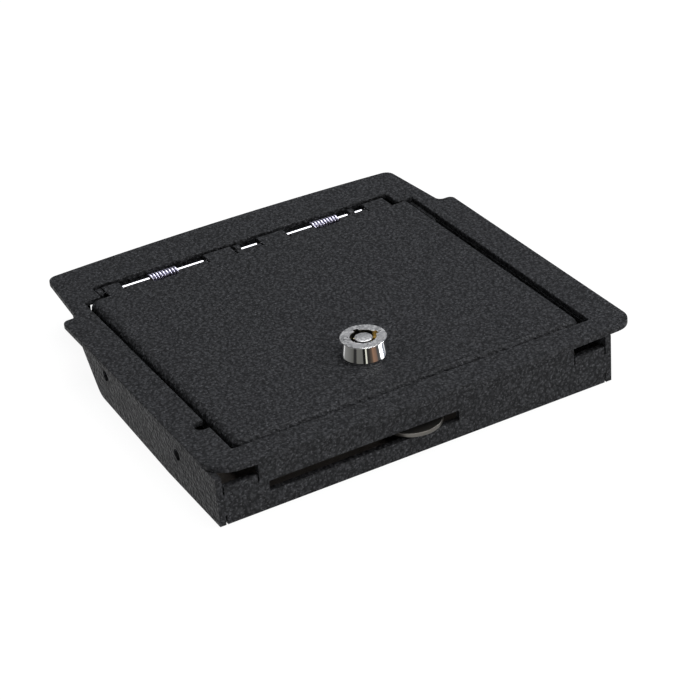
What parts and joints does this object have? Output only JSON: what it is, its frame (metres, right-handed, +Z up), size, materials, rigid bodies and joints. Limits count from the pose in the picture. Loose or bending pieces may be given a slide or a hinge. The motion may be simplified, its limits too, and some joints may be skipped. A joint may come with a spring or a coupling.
{
  "type": "console safe",
  "caption": "Shallow steel console safe: a tray under a stepped flange, with a spring-backed hinged lid held shut by a tubular cam lock.",
  "frame": {"origin": "on the underside of the tray's floor, on the tray's centre line and halfway along the flat floor", "axes": "+X along the front wall towards the side with the wider flange, +Y from the slotted front wall to the hinge, +Z up through the lid"},
  "size_m": [0.1972, 0.1905, 0.0307],
  "materials": {
    "coated_steel": "black powder coat with a leathery grain",
    "mat": "dark matt rubber",
    "bright_rod": "bright drawn rod",
    "zinc": "bright zinc plate",
    "lock_chrome": "polished nickel and chrome plate",
    "lock_brass": "plain brass",
    "dull_steel": "dull plated steel"
  },
  "bodies": {
    "frame": {"top_flange": "coated_steel", "tray_shell": "coated_steel", "floor_liner": "mat", "hinge_rod": "bright_rod", "hinge_bracket_left": "coated_steel", "hinge_bracket_middle": "coated_steel", "hinge_bracket_right": "coated_steel", "spring_left": "zinc", "spring_right": "zinc"},
    "lid": {"lid_panel": "coated_steel", "lock_housing": "lock_chrome", "lock_star_washer": "zinc", "lock_nut": "zinc"},
    "lock_core": {"lock_spindle": "lock_chrome", "lock_pin_1": "lock_brass", "lock_pin_2": "lock_brass", "lock_pin_3": "lock_brass", "lock_pin_4": "lock_brass", "lock_pin_5": "lock_brass", "lock_pin_6": "lock_brass", "lock_pin_7": "lock_brass", "lock_stop_washer": "zinc", "lock_cam": "dull_steel", "cam_washer": "zinc", "cam_nut": "zinc"}
  },
  "joints": [
    {"name": "lid_open", "type": "hinge", "parent": "frame", "child": "lid", "pos_m": [0.0056, 0.10275, 0.0211], "axis": [-1, 0, 0], "range_deg": [0, 95]},
    {"name": "lock_turn", "type": "hinge", "parent": "lid", "child": "lock_core", "pos_m": [0.001, -0.01205, 0.0104], "axis": [0, 0, -1], "range_deg": [0, 90]}
  ]
}
